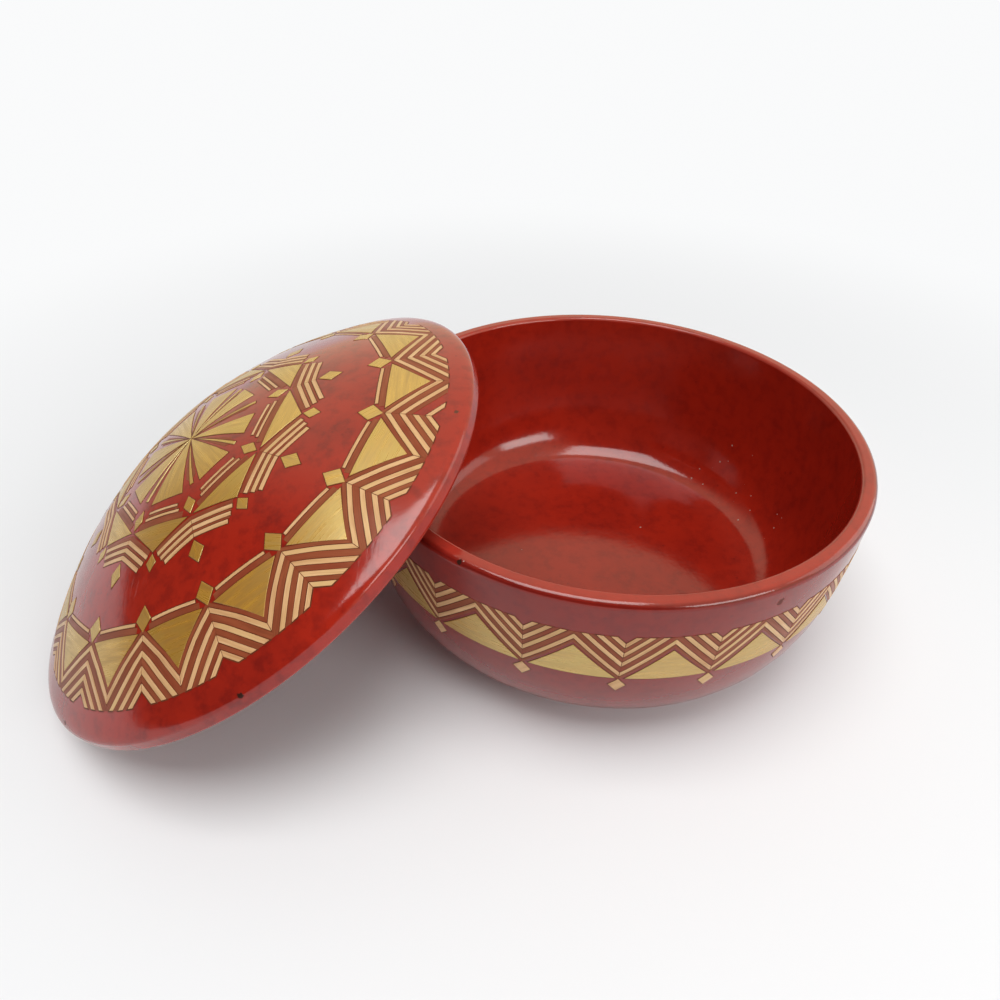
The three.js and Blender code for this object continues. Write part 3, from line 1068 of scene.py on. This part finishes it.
# %% Lacquer the bowl and the lid
bowl_finish = red_lacquer(
    "red lacquer on the bowl",
    clouding=0.34,
    scratch=0.2,
    gloss=0.12,
    edges=(
        (64.9, 53.9, 0.45, 0.55, DEEP),
        # painted highlights: a pale pink line along the inner rim edge, and a paler band across the
        # rim top
        (61.2, 54.1, 0.5, 0.6, PAINTED_HIGHLIGHT),
        (63.0, 54.6, 1.5, 0.3, PAINTED_HIGHLIGHT),
    ),
    chips=(
        ((-36, -54, 54), 0.9, WOOD),
        ((-34.9, -53.9, 54.4), 0.3, PALE_FLECK),
        ((29, -58, 50), 1.0, RUSSET),
        ((47, 24, 11), 0.35, PALE_FLECK),
        ((38, 38, 13), 0.35, PALE_FLECK),
        ((52, 6, 11), 0.3, PALE_FLECK),
        ((16, 13, 7.8), 0.3, PALE_FLECK),
        ((-21, 1, 7.8), 0.3, PALE_FLECK),
    ),
    # painted shade on the bowl's outer wall
    outer_wall_shade=0.4,
    dusty=(((45, 32, 14), 13), ((53, 12, 12), 9)),
)
lid_finish = red_lacquer(
    "red lacquer on the lid",
    clouding=0.5,
    scratch=0.3,
    gloss=0.14,
    # painted highlight: a pale pink line along the lid's lower edge
    edges=((66.0, 0.2, 0.7, 0.6, PAINTED_HIGHLIGHT),),
    chips=(
        ((-38, -26, 72), 0.7, UMBER),
        ((-39, -25, 72), 0.45, PALE_FLECK),
        ((-75, -79, 42), 0.6, WOOD),
        ((-122, -68, 15), 0.6, WOOD),
    ),
    leaned={
        "Location": LID_PLACE.translation[:],
        "Rotation": LID_PLACE.to_3x3().to_euler()[:],
    },
)

# %% [markdown]
# ### Straw
#
# A pressed stalk shines along its fibres like silk. Its colour changes from stalk to stalk and
# along each one: gold, ochre, a little brown. The grid's texture map runs along the grain, so
# fibres are noise that is short across and long along it. Each piece takes its fibres from another
# part of the noise, so that no two are alike.

# %% Group: straw fibres
straw, given, result = group(
    "straw fibres",
    {"Vector": "Vector", "Shade": "Float"},
    {"Streak": "Float", "Patch": "Float", "Height": "Float"},
)
PIECES_APART = 31.0
offset = node(straw, "CombineXYZ", {"X": given["Shade"], "Y": given["Shade"]}).outputs[0]
apart = node(straw, "VectorMath", {0: offset, "Scale": PIECES_APART}, operation="SCALE").outputs[0]
moved = vector_math(straw, "ADD", given["Vector"], apart)[0]
fine, broad, blotch = (
    node(straw, "Mapping", {"Vector": moved, "Scale": pull}).outputs[0]
    for pull in ((4, 120, 1), (2.5, 26, 1), (5, 8, 1))
)
fibre = noise(straw, fine, 1, 3, 0.7)
streak = times(straw, math_node(straw, "ADD", fibre, noise(straw, broad, 1)), 0.5)
straw.links.new(ramp(straw, streak, 0.30, 0.70), result["Streak"])
straw.links.new(ramp(straw, noise(straw, blotch, 1), 0.35, 0.65), result["Patch"])
straw.links.new(fibre, result["Height"])
print("group", straw.name)

# %% [markdown]
# Each kind of straw has a deep, a light and a second colour, a roughness, an index of refraction
# and a strength of shine. The dark bed round the pieces, partly the line of glue and partly painted
# shade along their edges, is handled as a fourth kind. The shine is yellow, and on the gold it is
# strong over an orange body, so the gold turns from brown on the dim side to bright yellow where it
# mirrors the room. The clear lacquer is worn thinner than on the red.

# %% Straw finishes
STRAW = {
    "gold": ((0.295, 0.115, 0.012), (0.58, 0.285, 0.035), (0.41, 0.215, 0.024), 0.31, 2.15, 1.0),
    "pale": ((0.50, 0.25, 0.105), (0.80, 0.50, 0.26), (0.64, 0.40, 0.17), 0.42, 1.5, 0.4),
    "brown": ((0.19, 0.042, 0.017), (0.33, 0.080, 0.033), (0.24, 0.036, 0.016), 0.5, 1.5, 0.2),
    # the dark bed round the light pieces: partly glue, partly painted shade at their edges
    "glue_and_shade": ((0.10, 0.020, 0.008), (0.17, 0.036, 0.015), (0.12, 0.020, 0.010), 0.6, 1.5, 0.1),
}
FIBRE_DEPTH = 0.00005
YELLOW = (1.0, 0.91, 0.46, 1)
SCATTER = 7.3


def straw_material(kind):
    deep, light, other, rough, ior, shine = STRAW[kind]
    made, tree, shader = material(kind + " straw")
    shade = node(tree, "Attribute", attribute_name="shade").outputs["Fac"]
    grain = node(tree, "TexCoord").outputs["UV"]
    stalk = use(tree, straw, {"Vector": grain, "Shade": shade})
    colour = mix(tree, stalk["Streak"], (*deep, 1), (*light, 1))
    patches = times(tree, stalk["Patch"], ramp(tree, shade, 0.2, 1.0, 0.1, 0.9))
    colour = mix(tree, patches, colour, (*other, 1))
    scattered = math_node(tree, "FRACT", times(tree, shade, SCATTER))
    colour = mix(tree, ramp(tree, scattered, 0, 1, 0.0, 0.22), colour, (*deep, 1))
    ridges = {"Height": stalk["Height"], "Strength": 0.45, "Distance": FIBRE_DEPTH}
    feed(
        tree,
        shader,
        {
            "Base Color": colour,
            "Roughness": ramp(tree, stalk["Streak"], 0, 1, rough + 0.08, rough - 0.06),
            "IOR": ior,
            "Specular IOR Level": shine,
            "Specular Tint": YELLOW,
            "Coat Weight": 0.2,
            "Coat Roughness": 0.16,
            "Normal": node(tree, "Bump", ridges).outputs[0],
        },
    )
    return made


straw_finish = {kind: straw_material(kind) for kind in STRAW}
print("finishes", len(bpy.data.materials), "groups", len(bpy.data.node_groups))

# %% [markdown]
# ## Dressing the frame
#
# Each piece rides on its body, takes its finish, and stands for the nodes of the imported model
# that it replaces.

# %% Dress
def named(*beginnings):
    return [name for name in sorted(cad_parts) if name.startswith(beginnings)]


STANDS_FOR = {
    "lid_gold": named("lid_rosette", "lid_inner_triangle", "lid_outer_triangle"),
    "lid_pale": named("lid_inner_fan", "lid_outer_fans"),
    "bowl_gold": named("bowl_triangle"),
    "bowl_pale": named("bowl_fans"),
}
for body, shell, finish, laid in (
    ("bowl", bowl, bowl_finish, bowl_straw),
    ("lid", lid, lid_finish, lid_straw),
):
    shell.data.materials.clear()
    shell.data.materials.append(finish)
    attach(shell, body)
    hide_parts(body)
    for kind, piece in laid.items():
        piece.data.materials.clear()
        piece.data.materials.append(straw_finish[kind])
        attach(piece, body)
        if piece.name in STANDS_FOR:
            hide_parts(*STANDS_FOR[piece.name])
    print("dressed", body, "and", len(laid), "kinds of straw on it")

# %% [markdown]
# ## The table, the light and the camera
#
# The box stands on white paper. Near the box the paper is plain diffuse white, so it takes the
# shadow. Farther off it fades to an even white for the camera and for what the lacquer mirrors,
# and the room has that same white, so no horizon shows.

# %% White paper
EVEN_WHITE = (0.955, 0.96, 0.965, 1)
PAPER_WHITE = (0.84, 0.845, 0.85, 1)
PAPER_SIZE = 8
FADE = (0.11, 0.36)
bpy.ops.object.select_all(action="DESELECT")
bpy.ops.mesh.primitive_plane_add(size=PAPER_SIZE, location=(0, 0, 0))
paper = bpy.context.object
paper.name = "paper"
white, tree, shader = material("white paper")
feed(tree, shader, {"Base Color": PAPER_WHITE, "Roughness": 0.8, "Specular IOR Level": 0.1})
far = vector_math(tree, "LENGTH", node(tree, "TexCoord").outputs["Object"])["Value"]
rays = node(tree, "LightPath").outputs
seen = math_node(tree, "MAXIMUM", rays["Is Camera Ray"], rays["Is Glossy Ray"])
seen = math_node(tree, "MAXIMUM", seen, rays["Is Transmission Ray"])
share = times(tree, seen, ramp(tree, far, *FADE))
glow = node(tree, "Emission", {"Color": EVEN_WHITE, "Strength": 1.0}).outputs[0]
blend = node(tree, "MixShader", {0: share, 1: shader.outputs[0], 2: glow})
tree.links.new(blend.outputs[0], tree.nodes["Material Output"].inputs["Surface"])
paper.data.materials.append(white)
print("paper fades from", FADE[0], "to", FADE[1], "m")

# %% [markdown]
# Overhead hangs one wide soft lamp, which draws the curved highlight inside the bowl. A low
# window at the front right gives the second, smaller one and the sheen on the lid's border, and
# a large weak lamp at the right lights the straw from the side.

# %% Lamps
def soft_lamp(name, place, aim, width, height, power):
    bpy.ops.object.select_all(action="DESELECT")
    bpy.ops.object.light_add(type="AREA", location=place)
    lamp = bpy.context.object
    lamp.name = name
    lamp.rotation_euler = (Vector(aim) - Vector(place)).to_track_quat("-Z", "Y").to_euler()
    lamp.data.shape = "RECTANGLE"
    lamp.data.size = width
    lamp.data.size_y = height
    lamp.data.energy = power
    print(name, power, "W")


BOX = (0, 0, 0.03)
BELOW = (-0.13, -0.23, 0)
soft_lamp("overhead lamp", (-0.13, -0.23, 1.0), BELOW, width=0.66, height=0.60, power=7.3)
soft_lamp("side lamp", (1.0, 0.15, 0.45), BOX, width=0.8, height=0.7, power=2.3)
soft_lamp("window lamp", (0.59, -0.585, 0.485), BOX, width=0.50, height=0.26, power=2.5)

# %% [markdown]
# What the lacquer mirrors makes it look wet. Behind and to the right the room is bright and warm,
# and to the left and in front it is dim, which keeps the lid's left side deep red. As a light the
# same room is weak and even, so that it only fills the shadows. The camera sees plain white.

# %% The room
WARM = (1, 0.93, 0.68, 1)
BRIGHT_SIDE = (0.7071, 0.7071, 0)
world = bpy.data.worlds.new("studio")
bpy.context.scene.world = world
world.use_nodes = True
tree = world.node_tree
toward = node(tree, "TexCoord").outputs["Generated"]
side = vector_math(tree, "DOT_PRODUCT", toward, BRIGHT_SIDE)["Value"]
bright = ramp(tree, side, -0.5, 0.05, 0.05, 1.05)
rays = node(tree, "LightPath").outputs
lit = ramp(tree, bright, 0.05, 1.05, 0.20, 0.42)
room = node(tree, "Mix", {0: rays["Is Glossy Ray"], 2: lit, 3: bright}, data_type="FLOAT")
strength = math_node(tree, "MAXIMUM", room.outputs[0], rays["Is Camera Ray"])
backdrop = tree.nodes["Background"]
warm = mix(tree, rays["Is Glossy Ray"], EVEN_WHITE, WARM)
tree.links.new(warm, backdrop.inputs["Color"])
tree.links.new(strength, backdrop.inputs["Strength"])
print("room", world.name)

# %% [markdown]
# The camera stands where it stood for the picture: its place, its turn and its lens come from
# fitting the outlines of the bowl and the lid.

# %% Camera
SENSOR = 36
LENS_SHARE = 0.7469
bpy.ops.object.select_all(action="DESELECT")
bpy.ops.object.camera_add(location=(-0.02798, -0.16369, 0.15853))
camera = bpy.context.object
side_way = Vector((0.99943, 0.02110, 0.02630))
up_way = Vector((-0.03372, 0.62531, 0.77965))
back_way = side_way.cross(up_way)
turn = Matrix((side_way, up_way, back_way)).transposed()
camera.rotation_euler = turn.to_euler()
camera.data.sensor_width = SENSOR
camera.data.lens = LENS_SHARE * SENSOR
camera.data.clip_start = 0.01
bpy.context.scene.camera = camera
bpy.context.scene.view_settings.view_transform = "Standard"
print("lens", round(camera.data.lens, 1), "mm")
